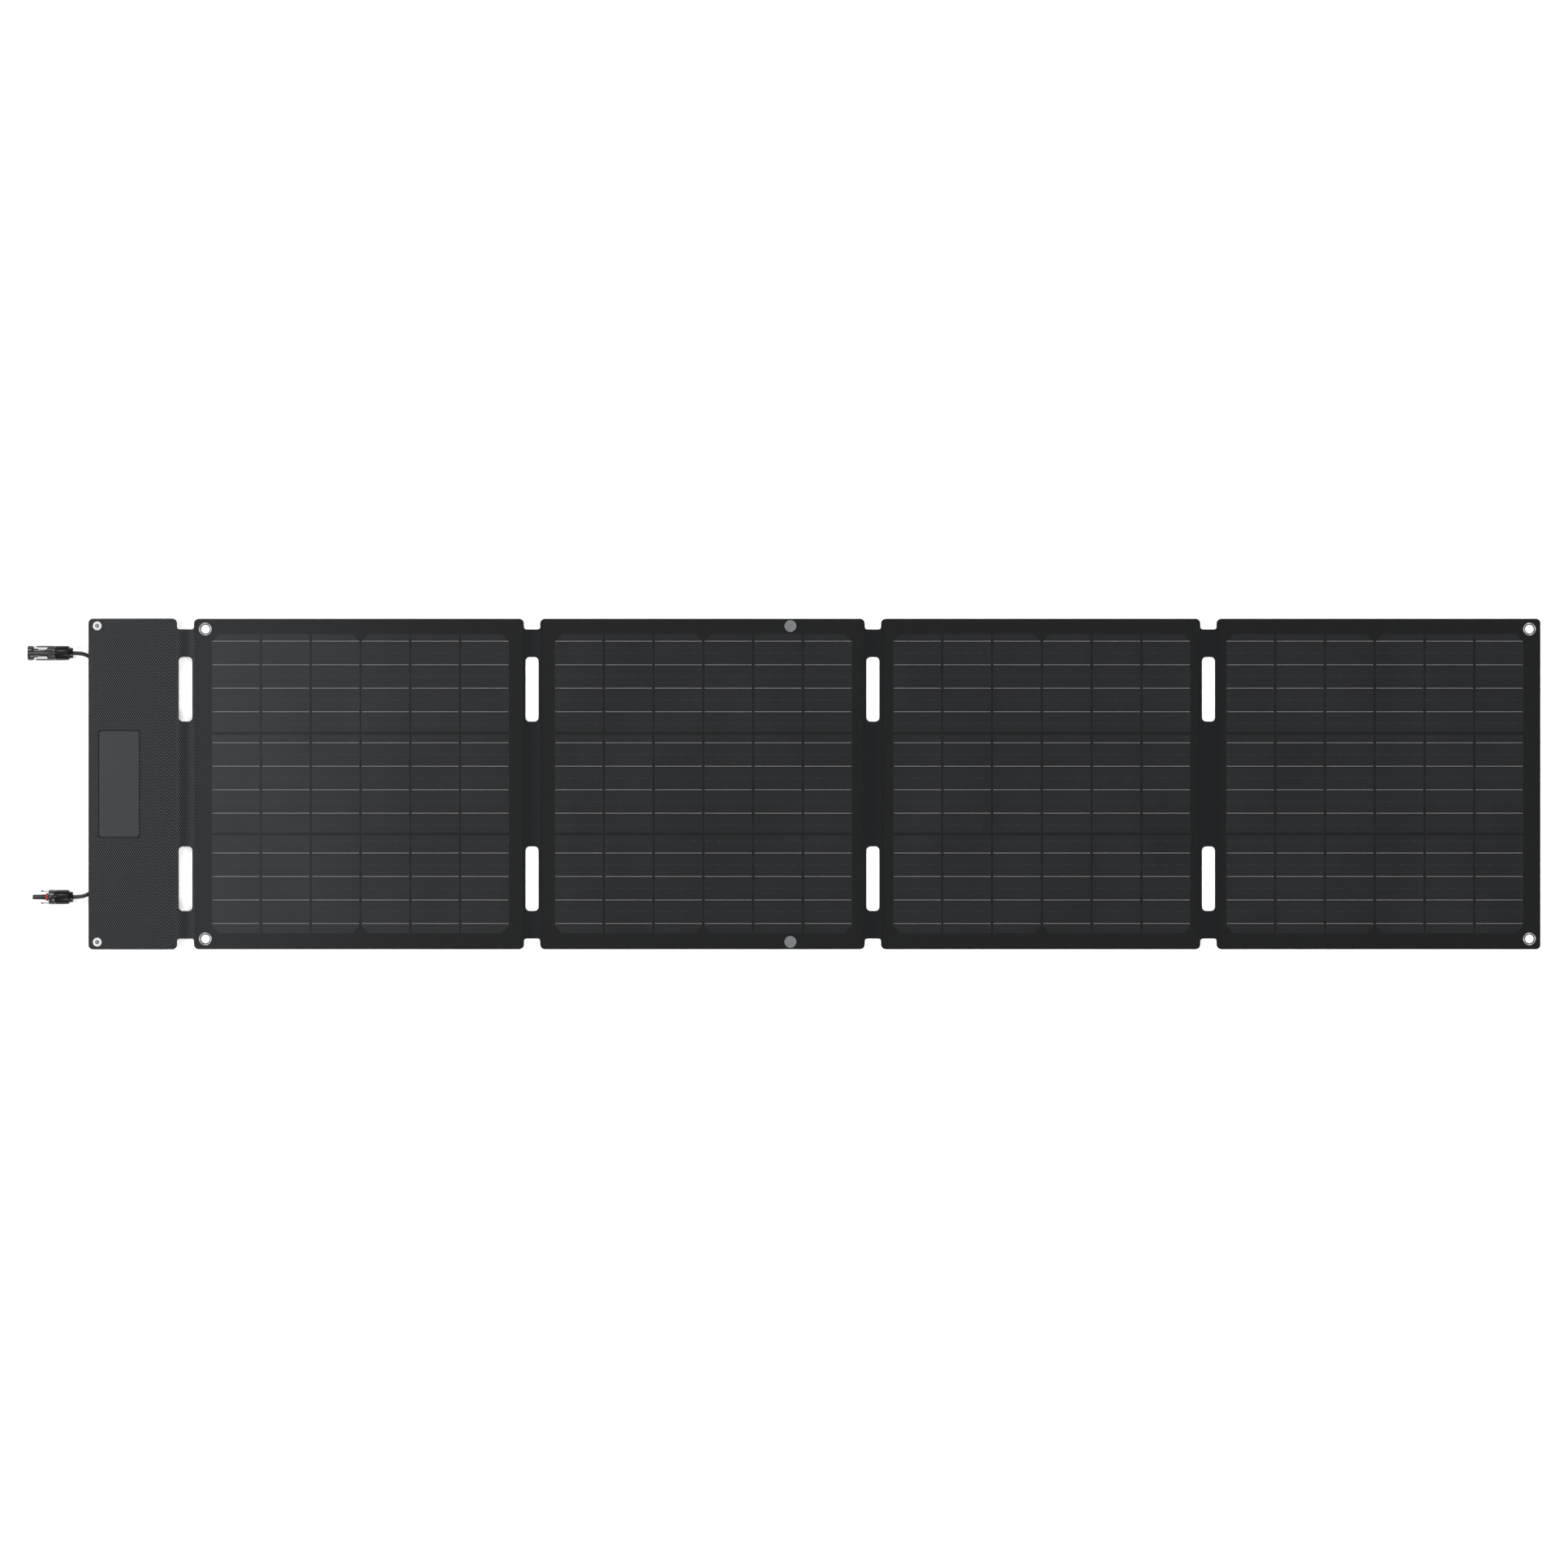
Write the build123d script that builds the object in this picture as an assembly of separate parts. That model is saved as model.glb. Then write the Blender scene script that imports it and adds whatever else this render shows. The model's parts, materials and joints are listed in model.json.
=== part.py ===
from build123d import *
import os
from math import pi, radians, tan

# A four-panel folding solar sheet with a wrap-over flap, lying open, front face up.
# The flap carries a junction box on its back and two short plug-ended leads.
# X runs along the sheet away from the flap, Y across it, Z up. The origin is under its middle.

os.makedirs("parts", exist_ok=True)

# ---- Driving dimensions, millimetres ----

SHEET_LENGTH = 1788.0
SHEET_WIDTH = 407.2
SHEET_CORNER = 5.5

# Fold lines along Y: the flap folds at the first one. Each panel is a little narrower than
# the one before, so that the panels roll up inside one another.
FOLD_FLAP, FOLD_12, FOLD_23, FOLD_34 = FOLDS = (-775.0, -348.5, 71.5, 485.0)
WEB_HALF = 12.0

# Lacing slots and edge notches in every fold web
SLOT_WIDTH, SLOT_LENGTH, SLOT_CORNER = 16.0, 79.4, 5.0
SLOT_CENTRE_Y = 116.7
NOTCH_WIDTH, NOTCH_DEPTH = 20.0, 13.1
NOTCH_MOUTH_RADIUS, NOTCH_INNER_RADIUS = 6.0, 3.0

# Laminate, from the back face up. The black glue fills the gaps between the cells, level with
# them, and the clear front film lies over both, a hair above, with a groove for each ribbon.
FABRIC, BOARD, REAR_GLUE, CELL_THICKNESS, FILM = 0.6, 1.0, 0.2, 0.2, 0.58
FILM_GAP = 0.02
RIBBON_THICKNESS = 0.15
Z_BOARD = FABRIC
Z_REAR_GLUE = Z_BOARD + BOARD
Z_CELL = Z_REAR_GLUE + REAR_GLUE
Z_CELL_TOP = Z_CELL + CELL_THICKNESS
Z_FILM = Z_CELL_TOP + FILM_GAP
PANEL_THICKNESS = Z_FILM + FILM
WEB_BOTTOM, WEB_THICKNESS = 0.4, 1.6

# Cells: six columns and three rows on each panel
COLUMNS, ROWS = 6, 3
ARRAY_LEFT = (-744.0, -321.5, 95.6, 505.8)
ARRAY_WIDTH, ARRAY_HEIGHT, ARRAY_CENTRE_Y = 368.2, 368.5, 0.4
COLUMN_GAP, ROW_GAP = 2.0, 3.2
ROW_LINE_Y = 62.0
CELL_CHAMFER = 9.0
WAFER_COLUMNS = 3
RIBBON_WIDTH, RIBBON_PITCH, RIBBON_END_GAP = 1.0, 28.95, 1.5
RIBBONS_PER_ROW = 4
RIBBON_SHIFT = (-4.9, 7.0, 8.2)

# Eyelets at the two ends, pressed from both sides
EYELETS_1 = [(-751.0, y) for y in (-190.9, 190.9)]
EYELETS_4 = [(880.5, y) for y in (-190.9, 190.9)]
EYELET_BORE_R, EYELET_BARREL_R, EYELET_FLANGE_R = 5.3, 5.8, 8.0
EYELET_PROUD, EYELET_ROUND = 0.8, 0.35

# Snaps: studs on the flap meet sockets in the back of panel 2 when the stack is wrapped
STUDS = [(-883.1, y) for y in (-194.6, 194.6)]
SOCKETS = [(-30.1, y) for y in (-194.6, 194.6)]
STUD_BASE_R, STUD_BASE_H, STUD_POST_R, STUD_POST_H = 5.4, 0.9, 2.0, 3.2
SNAP_BACK_R, SNAP_BACK_H, SNAP_SHANK_R = 6.0, 0.9, 1.2
SNAP_CAP_R, SNAP_CAP_H = 7.35, 0.8
SOCKET_DEPTH, SOCKET_MOUTH_R, SOCKET_FLOOR = 1.4, 2.6, 0.4

# Junction box under the flap, with a plate on the flap's front
BOX_DEPTH = 13.4
FLAP_TOP = BOX_DEPTH + PANEL_THICKNESS
BOX_X = -856.0
PLATE_WIDTH, PLATE_LENGTH, PLATE_CORNER, PLATE_PROUD = 49.0, 130.0, 3.0, 1.2
HOUSING_WIDTH, HOUSING_LENGTH, HOUSING_CORNER, HOUSING_WALL = 52.0, 134.0, 5.0, 2.0
GASKET = 1.0
BOX_SCREWS = [(BOX_X + x, y) for x in (-19.0, 19.0) for y in (-48.0, 48.0)]
SCREW_R, SCREW_HEAD_R, SCREW_HEAD_H = 1.15, 2.8, 2.2
POST_R, PLATE_BOSS_R = 4.2, 3.0

# Leads
LEAD_R, LEAD_BORE_R = 2.5, 2.6
GLAND_X, GLAND_Z = -873.0, 7.0
GLAND_START_Y, GLAND_END_Y, GLAND_R = 63.5, 73.0, 4.5

# Plug connectors at the lead ends, both along X, resting on the ground
PLUG_R = 9.15
PLUG_TIP = -969.1
PLUG_SHOULDER, PLUG_NUT, PLUG_NOSE, PLUG_REAR = -944.5, -935.0, -917.1, -913.3
PLUG_SPIGOT_R, PLUG_SPIGOT_END = 6.4, -925.0
PLUG_FIRST_Y, PLUG_SECOND_Y = 161.2, -139.2
LEAD_END_X = -916.3
NUT_RIBS, NUT_RIB_WIDTH = 10, 3.6

FIRST_LEAD = [
    (GLAND_X, GLAND_START_Y, GLAND_Z), (GLAND_X, 86.0, GLAND_Z), (-874.6, 108.6, 4.9),
    (-877.2, 124.0, 3.3), (-879.0, 135.7, 3.5), (-881.9, 144.8, 4.6), (-887.5, 152.5, 6.3),
    (-895.2, 158.1, 8.1), (-904.2, PLUG_FIRST_Y, PLUG_R), (LEAD_END_X, PLUG_FIRST_Y, PLUG_R),
]
SECOND_LEAD = [
    (GLAND_X, -GLAND_START_Y, GLAND_Z), (GLAND_X, -81.5, GLAND_Z), (-875.4, -99.8, 4.4),
    (-879.0, -113.6, 3.6), (-882.0, -122.9, 4.5), (-887.6, -130.6, 6.2), (-895.2, -136.2, 8.0),
    (-904.2, PLUG_SECOND_Y, PLUG_R), (LEAD_END_X, PLUG_SECOND_Y, PLUG_R),
]


# ---- Small helpers ----

def block(x0, x1, y0, y1, z0, z1):
    """Box between two corners."""
    middle = Pos((x0 + x1) / 2, (y0 + y1) / 2, (z0 + z1) / 2)
    return middle * Box(x1 - x0, y1 - y0, z1 - z0)


def disc(x, y, z0, z1, radius):
    """Upright cylinder."""
    return Pos(x, y, (z0 + z1) / 2) * Cylinder(radius, z1 - z0)


def round_x(x0, x1, y, z, radius):
    """Cylinder along X."""
    return Pos((x0 + x1) / 2, y, z) * Rot(0, 90, 0) * Cylinder(radius, abs(x1 - x0))


def round_y(y0, y1, x, z, radius):
    """Cylinder along Y."""
    return Pos(x, (y0 + y1) / 2, z) * Rot(90, 0, 0) * Cylinder(radius, abs(y1 - y0))


def plate(width, length, corner, z0, z1, x=0.0, y=0.0):
    """Upright prism of a rounded rectangle."""
    return Pos(x, y, z0) * extrude(RectangleRounded(width, length, corner), amount=z1 - z0)


def save(node, *pieces):
    """Write one node, as separate solids where it has several pieces."""
    solids = [solid for piece in pieces for solid in piece.solids()]
    shape = solids[0] if len(solids) == 1 else Compound(solids)
    export_step(shape, f"parts/{node}.step")


# ---- Outline of the whole sheet, with its notches and slots ----

def sheet_prism():
    """Tall prism of the sheet's outline, which every layer is cut to."""
    outline = Rectangle(SHEET_LENGTH, SHEET_WIDTH)
    outline = fillet(outline.vertices(), SHEET_CORNER)
    half = SHEET_WIDTH / 2
    reach = NOTCH_MOUTH_RADIUS + 2
    for fold in FOLDS:
        for side in (-1, 1):
            notch = Pos(fold, side * (half - NOTCH_DEPTH / 2 + reach / 2)) * Rectangle(
                NOTCH_WIDTH, NOTCH_DEPTH + reach
            )
            inner = notch.vertices().sort_by(lambda v: abs(v.Y))[:2]
            outline -= fillet(inner, NOTCH_INNER_RADIUS)
            slot = RectangleRounded(SLOT_WIDTH, SLOT_LENGTH, SLOT_CORNER)
            outline -= Pos(fold, side * SLOT_CENTRE_Y) * slot
    mouths = [
        v for v in outline.vertices()
        if abs(abs(v.Y) - half) < 0.01 and abs(v.X) < SHEET_LENGTH / 2 - 2 * SHEET_CORNER
    ]
    outline = fillet(mouths, NOTCH_MOUTH_RADIUS)
    return Pos(0, 0, -1) * extrude(outline, amount=FLAP_TOP + 5)


PRISM = sheet_prism()


def layer(left, right, z0, z1):
    """One flat layer between two X positions, with the sheet's own edge."""
    half = SHEET_WIDTH / 2 + 1
    return block(left, right, -half, half, z0, z1) & PRISM


def drill(shape, places, radius, z0, z1):
    """Take an upright hole out at each place."""
    for x, y in places:
        shape -= disc(x, y, z0, z1, radius)
    return shape


# ---- Cells and ribbons ----

def row_edges():
    """Lowest and highest Y of each row of cells, from the bottom row up."""
    half, gap = ARRAY_HEIGHT / 2, ROW_GAP / 2
    lines = (-half - gap, -ROW_LINE_Y, ROW_LINE_Y, half + gap)
    return [(ARRAY_CENTRE_Y + a + gap, ARRAY_CENTRE_Y + b - gap) for a, b in zip(lines, lines[1:])]


def cell(x0, x1, y0, y1, column, row):
    """One cell, with the corners cut where it has a corner of the wafer it was cut from."""
    cut = CELL_CHAMFER
    first = column % WAFER_COLUMNS == 0
    last = column % WAFER_COLUMNS == WAFER_COLUMNS - 1
    low, high = row == 0, row == ROWS - 1
    points = [(x0 + cut, y0), (x0, y0 + cut)] if first and low else [(x0, y0)]
    points += [(x0, y1 - cut), (x0 + cut, y1)] if first and high else [(x0, y1)]
    points += [(x1 - cut, y1), (x1, y1 - cut)] if last and high else [(x1, y1)]
    points += [(x1, y0 + cut), (x1 - cut, y0)] if last and low else [(x1, y0)]
    outline = make_face(Polyline(*points, close=True))
    return Pos(0, 0, Z_CELL) * extrude(outline, amount=CELL_THICKNESS)


def panel_cells(left):
    """All the cells of one panel, and the place of each ribbon piece that lies on them."""
    cells, ribbons = [], []
    pitch = ARRAY_WIDTH / COLUMNS
    for row, (y0, y1) in enumerate(row_edges()):
        for column in range(COLUMNS):
            x0 = left + column * pitch + COLUMN_GAP / 2
            x1 = x0 + pitch - COLUMN_GAP
            cells.append(cell(x0, x1, y0, y1, column, row))
            for number in range(RIBBONS_PER_ROW):
                step = number - (RIBBONS_PER_ROW - 1) / 2
                y = (y0 + y1) / 2 + RIBBON_SHIFT[row] + step * RIBBON_PITCH
                ribbons.append((x0 + RIBBON_END_GAP / 2, x1 - RIBBON_END_GAP / 2, y))
    return cells, ribbons


def ribbon(x0, x1, y, top):
    """One flat ribbon piece on a cell, or the groove above it."""
    return block(x0, x1, y - RIBBON_WIDTH / 2, y + RIBBON_WIDTH / 2, Z_CELL_TOP, top)


# ---- Panels ----

def panel(number, left, right, array_left, eyelets=(), sockets=()):
    """The layers of one panel, with the holes that its eyelets or snaps need."""
    cells, ribbons = panel_cells(array_left)
    fabric = layer(left, right, 0, FABRIC)
    board = layer(left, right, Z_BOARD, Z_REAR_GLUE)
    rear_glue = layer(left, right, Z_REAR_GLUE, Z_CELL)
    grid = layer(left, right, Z_CELL, Z_CELL_TOP)
    grid -= cells
    groove_top = Z_CELL_TOP + RIBBON_THICKNESS + FILM_GAP
    film = layer(left, right, Z_FILM, PANEL_THICKNESS)
    film -= [ribbon(*place, groove_top) for place in ribbons]
    fabric = drill(fabric, eyelets, EYELET_FLANGE_R, -1, FABRIC)
    fabric = drill(fabric, sockets, SNAP_BACK_R, -1, FABRIC)
    board = drill(board, sockets, SNAP_BACK_R, 0, SOCKET_DEPTH)
    sheets = []
    for sheet in (board, rear_glue, grid, film):
        sheet = drill(sheet, eyelets, EYELET_BARREL_R, 0, PANEL_THICKNESS)
        sheets.append(drill(sheet, sockets, SNAP_SHANK_R, 0, PANEL_THICKNESS))
    board, rear_glue, grid, film = sheets
    save(f"panel_{number}_back_fabric", fabric)
    save(f"panel_{number}_stiffener_board", board)
    save(f"panel_{number}_encapsulant", rear_glue, grid)
    save(f"panel_{number}_cells", *cells)
    top = Z_CELL_TOP + RIBBON_THICKNESS
    save(f"panel_{number}_ribbons", *[ribbon(*place, top) for place in ribbons])
    save(f"panel_{number}_front_film", film)


def eyelet(x, y):
    """Flanged barrel of an eyelet, with a rounded flange proud of the front."""
    top = PANEL_THICKNESS + EYELET_PROUD
    body = disc(x, y, PANEL_THICKNESS, top, EYELET_FLANGE_R)
    body += disc(x, y, 0, PANEL_THICKNESS, EYELET_BARREL_R)
    body -= disc(x, y, -1, top + 1, EYELET_BORE_R)
    rims = body.edges().filter_by(GeomType.CIRCLE).group_by(Axis.Z)[-1]
    return fillet(rims, EYELET_ROUND)


def eyelet_washer(x, y):
    """Flat washer that the barrel is rolled over, level with the back face."""
    return disc(x, y, 0, FABRIC, EYELET_FLANGE_R) - disc(x, y, -1, FABRIC + 1, EYELET_BARREL_R)


def fold_web(fold):
    """Flexible strip across one fold."""
    return layer(fold - WEB_HALF, fold + WEB_HALF, WEB_BOTTOM, WEB_BOTTOM + WEB_THICKNESS)


def flap_web():
    """Flexible strip that climbs from panel 1 to the flap, which its box holds up."""
    left, right = FOLD_FLAP - WEB_HALF, FOLD_FLAP + WEB_HALF
    top = WEB_BOTTOM + WEB_THICKNESS
    profile = Plane.XZ * make_face(Polyline(
        (right, WEB_BOTTOM), (right, top), (left, BOX_DEPTH + top), (left, BOX_DEPTH + WEB_BOTTOM),
        close=True,
    ))
    return extrude(profile, amount=SHEET_WIDTH / 2 + 1, both=True) & PRISM


# ---- Snaps ----

def snap_stud(x, y):
    """Male half of a snap on the flap's front, with its shank through the flap."""
    base_top = FLAP_TOP + STUD_BASE_H
    tip = FLAP_TOP + STUD_POST_H
    stud = disc(x, y, FLAP_TOP, base_top, STUD_BASE_R) - disc(x, y, FLAP_TOP + 0.4, base_top + 1, 3.0)
    stud += disc(x, y, FLAP_TOP, tip - 1.4, STUD_POST_R - 0.4)
    head = disc(x, y, tip - 1.4, tip, STUD_POST_R)
    stud += fillet(head.edges().filter_by(GeomType.CIRCLE), 0.5)
    return stud + disc(x, y, BOX_DEPTH, FLAP_TOP, SNAP_SHANK_R)


def snap_back(x, y):
    """Round back of a flap snap."""
    back = disc(x, y, BOX_DEPTH - SNAP_BACK_H, BOX_DEPTH, SNAP_BACK_R)
    return fillet(back.edges().filter_by(GeomType.CIRCLE).group_by(Axis.Z)[0], 0.4)


def snap_cap(x, y):
    """Low round cap on the front of panel 2, with its shank down to the socket."""
    top = PANEL_THICKNESS + SNAP_CAP_H
    cap = disc(x, y, PANEL_THICKNESS, top, SNAP_CAP_R)
    cap = fillet(cap.edges().filter_by(GeomType.CIRCLE).group_by(Axis.Z)[-1], 0.5)
    return cap + disc(x, y, SOCKET_DEPTH - SOCKET_FLOOR, PANEL_THICKNESS, SNAP_SHANK_R)


def snap_socket(x, y):
    """Female half of a snap, level with the back face of panel 2."""
    floor = SOCKET_DEPTH - SOCKET_FLOOR
    socket = disc(x, y, 0, SOCKET_DEPTH, SNAP_BACK_R) - disc(x, y, -1, floor, SOCKET_MOUTH_R)
    return socket - disc(x, y, 0, SOCKET_DEPTH + 1, SNAP_SHANK_R)


# ---- Flap and junction box ----

def flap():
    """Three layers of the flap, with holes for the snaps and for the plate's bosses."""
    left, right = -SHEET_LENGTH / 2, FOLD_FLAP - WEB_HALF
    z = (BOX_DEPTH, BOX_DEPTH + FABRIC, FLAP_TOP - FILM, FLAP_TOP)
    for node, z0, z1 in zip(("back_fabric", "stiffener_board", "front_film"), z, z[1:]):
        sheet = drill(layer(left, right, z0, z1), STUDS, SNAP_SHANK_R, z0 - 1, z1 + 1)
        save(f"flap_{node}", drill(sheet, BOX_SCREWS, PLATE_BOSS_R, z0 - 1, z1 + 1))


def front_plate():
    """Visible plate on the flap, with four blind bosses for the screws from behind."""
    top = FLAP_TOP + PLATE_PROUD
    body = plate(PLATE_WIDTH, PLATE_LENGTH, PLATE_CORNER, FLAP_TOP, top, BOX_X)
    body = fillet(body.edges().group_by(Axis.Z)[-1], 0.5)
    for x, y in BOX_SCREWS:
        body += disc(x, y, BOX_DEPTH, FLAP_TOP, PLATE_BOSS_R)
    return drill(body, BOX_SCREWS, SCREW_R + 0.05, BOX_DEPTH - 1, FLAP_TOP + 0.4)


def housing():
    """Open tray with screw posts, board ribs and a hole for each lead."""
    rim = BOX_DEPTH - GASKET
    wall = HOUSING_WALL
    tray = plate(HOUSING_WIDTH, HOUSING_LENGTH, HOUSING_CORNER, 0, rim, BOX_X)
    tray = chamfer(tray.edges().group_by(Axis.Z)[0], 1.2)
    inner = (HOUSING_WIDTH - 2 * wall, HOUSING_LENGTH - 2 * wall, HOUSING_CORNER - wall)
    tray -= plate(*inner, wall, rim + 1, BOX_X)
    for x, y in BOX_SCREWS:
        tray += disc(x, y, wall, BOX_DEPTH, POST_R)
    tray = drill(tray, BOX_SCREWS, SCREW_R + 0.35, -1, BOX_DEPTH + 1)
    tray = drill(tray, BOX_SCREWS, SCREW_HEAD_R + 0.2, -1, SCREW_HEAD_H + 0.4)
    for y in (-30.0, 30.0):
        tray += block(BOX_X - 15, BOX_X + 15, y - 1, y + 1, wall, 4.0)
    for side in (-1, 1):
        end = side * HOUSING_LENGTH / 2
        tray -= round_y(end - 3 * side, end + side, GLAND_X, GLAND_Z, 3.6)
    return tray


def gasket():
    """Rubber frame between the tray's rim and the flap."""
    wall = HOUSING_WALL
    z0 = BOX_DEPTH - GASKET
    outer = plate(HOUSING_WIDTH, HOUSING_LENGTH, HOUSING_CORNER, z0, BOX_DEPTH, BOX_X)
    inner = (HOUSING_WIDTH - 2 * wall, HOUSING_LENGTH - 2 * wall, HOUSING_CORNER - wall)
    return outer - plate(*inner, z0 - 1, BOX_DEPTH + 1, BOX_X)


def box_screw(x, y):
    """Screw from behind, up through a post into the plate's boss."""
    seat = SCREW_HEAD_H + 0.4
    head = disc(x, y, 0.4, seat, SCREW_HEAD_R) - plate(0.9, 4.0, 0.4, 0, 1.2, x, y)
    return head + disc(x, y, seat, FLAP_TOP + 0.2, SCREW_R)


def bypass_diode(y):
    """Flat diode package with a metal tab end."""
    body = block(BOX_X - 6, BOX_X + 4, y - 4, y + 4, 5.2, 8.0)
    body = chamfer(body.edges().group_by(Axis.Z)[-1], 0.4)
    return body + block(BOX_X + 4, BOX_X + 9, y - 3, y + 3, 5.2, 6.0)


def terminal(side):
    """Brass clamp on the tray floor that holds a lead's bared core."""
    y0, y1 = sorted((side * 54.0, side * 60.0))
    body = block(GLAND_X - 4, GLAND_X + 4, y0, y1, HOUSING_WALL, 9.6)
    body = chamfer(body.edges().group_by(Axis.Z)[-1], 0.6)
    return body + round_y(side * 60.0, side * GLAND_START_Y, GLAND_X, GLAND_Z, 1.5)


def gland(side):
    """Rubber sleeve snapped into the tray's end wall around a lead."""
    end = HOUSING_LENGTH / 2
    body = round_y(side * end, side * GLAND_END_Y, GLAND_X, GLAND_Z, GLAND_R)
    body = chamfer(body.edges().filter_by(GeomType.CIRCLE).sort_by(Axis.Y)[0 if side < 0 else -1], 1.1)
    body += round_y(side * (end - HOUSING_WALL), side * end, GLAND_X, GLAND_Z, 3.6)
    body += round_y(side * GLAND_START_Y, side * (end - HOUSING_WALL), GLAND_X, GLAND_Z, 4.0)
    return body - round_y(side * 60, side * (GLAND_END_Y + 1), GLAND_X, GLAND_Z, LEAD_BORE_R)


def junction_box():
    """Every piece of the junction box."""
    save("box_front_plate", front_plate())
    save("box_housing", housing())
    save("box_gasket", gasket())
    save("box_screws", *[box_screw(x, y) for x, y in BOX_SCREWS])
    save("box_circuit_board", block(BOX_X - 19, BOX_X + 19, -42, 42, 4.0, 5.2))
    save("box_bypass_diodes", *[bypass_diode(y) for y in (-33.0, -11.0, 11.0, 33.0)])
    save("box_terminals", *[terminal(side) for side in (-1, 1)])
    save("box_cable_glands", *[gland(side) for side in (-1, 1)])


# ---- Leads and plugs ----

def lead(node, route):
    """Round cable along straight runs joined by the largest arcs that they allow."""
    points = [Vector(*point) for point in route]
    runs = [b - a for a, b in zip(points, points[1:])]
    radii = []
    for before, after in zip(runs, runs[1:]):
        half_turn = radians(before.get_angle(after) / 2)
        shorter = min(before.length, after.length)
        radii.append(0.45 * shorter / tan(half_turn))
    path = FilletPolyline(*points, radius=radii)
    section = Plane(path @ 0, z_dir=path % 0) * Circle(LEAD_R)
    tube = sweep(section, path=path)
    save(node, tube)
    filled = tube.volume / (pi * LEAD_R**2 * path.length)
    print(node, "length", round(path.length, 1), "volume ratio", round(filled, 4))
    print("  arc radii", [round(radius) for radius in radii])


def spigot(y):
    """Threaded rear tube of a plug housing, inside its nut."""
    tube = round_x(PLUG_NUT, PLUG_SPIGOT_END, y, PLUG_R, PLUG_SPIGOT_R)
    return tube - round_x(PLUG_NUT - 1, PLUG_SPIGOT_END + 1, y, PLUG_R, 3.4)


def first_housing(y):
    """Plug housing: a notched collar on a ribbed barrel, between two spring fingers."""
    collar_end, finger_tip, web = -961.5, -960.5, -946.0
    barrel_r, neck, waist, finger = 7.0, 5.1, 4.1, 7.1
    body = round_x(PLUG_TIP, PLUG_NUT, y, PLUG_R, PLUG_R)
    body = chamfer(body.edges().filter_by(GeomType.CIRCLE), 0.6)
    barrel = round_x(PLUG_TIP - 1, PLUG_NUT, y, PLUG_R, barrel_r)
    body -= block(collar_end, PLUG_SHOULDER, y - neck, y + neck, -1, 2 * PLUG_R + 1) - barrel
    body -= block(PLUG_TIP - 1, collar_end + 0.1, y - 3.0, y + 3.0, -1, 2 * PLUG_R + 1) - barrel
    for side in (-1, 1):
        window = [(collar_end, neck), (-957.5, neck), (-956.3, waist), (web, waist),
                  (PLUG_SHOULDER, 5.5), (PLUG_SHOULDER, finger), (-956.6, finger),
                  (finger_tip, 9.2), (finger_tip, 10.5), (collar_end - 2.9, 10.5), (collar_end, 7.6)]
        outline = make_face(Polyline(*[(x, y + side * away) for x, away in window], close=True))
        body -= Pos(0, 0, -1) * extrude(outline, amount=2 * PLUG_R + 2)
        top = sorted((PLUG_R + side * 7.4, PLUG_R + side * 10))
        pocket = block(PLUG_SHOULDER - 0.1, -937.2, y - 4.2, y + 4.2, *top)
        body -= chamfer(pocket.edges().filter_by(Axis.Z).group_by(Axis.X)[0], 2.0)
        dome = Pos(-940.7, y, PLUG_R + side * 7.4) * Cylinder(2.4, 2.6)
        body += fillet(dome.edges().filter_by(GeomType.CIRCLE), 0.9)
        for line in (-1.45, 1.45):
            groove = sorted((PLUG_R + side * 6.0, PLUG_R + side * 8))
            body -= block(PLUG_TIP + 1.4, web, y + line - 0.4, y + line + 0.4, *groove)
    body -= round_x(PLUG_TIP - 1, -964.0, y, PLUG_R, 4.7)
    body -= round_x(-965.0, web, y, PLUG_R, 3.4)
    body -= round_x(web - 1, PLUG_NUT + 1, y, PLUG_R, 2.1)
    body -= round_x(-942.0, PLUG_NUT + 1, y, PLUG_R, 3.4)
    return body + spigot(y)


def second_housing(y):
    """Plug housing with a slim probe and two hooked spring fingers."""
    front, probe_tip, finger_tip = -943.0, -963.1, -953.5
    body = round_x(front, PLUG_NUT, y, PLUG_R, PLUG_R - 0.05)
    body = chamfer(body.edges().filter_by(GeomType.CIRCLE), 0.6)
    body += round_x(probe_tip, front, y, PLUG_R, 3.1)
    for side in (-1, 1):
        low, high = sorted((y + side * 6.7, y + side * 7.6))
        body += block(finger_tip, front + 0.5, low, high, PLUG_R - 3, PLUG_R + 3)
        hook = [(finger_tip, 6.9), (finger_tip + 2.2, 8.7), (finger_tip + 4.0, 7.6), (finger_tip + 4.0, 6.9)]
        outline = make_face(Polyline(*[(x, y + side * away) for x, away in hook], close=True))
        body += Pos(0, 0, PLUG_R - 3) * extrude(outline, amount=6)
    body -= round_x(probe_tip - 1, PLUG_NUT + 1, y, PLUG_R, 2.4)
    body -= round_x(-941.0, PLUG_NUT + 1, y, PLUG_R, 3.4)
    return body + spigot(y)


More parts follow.
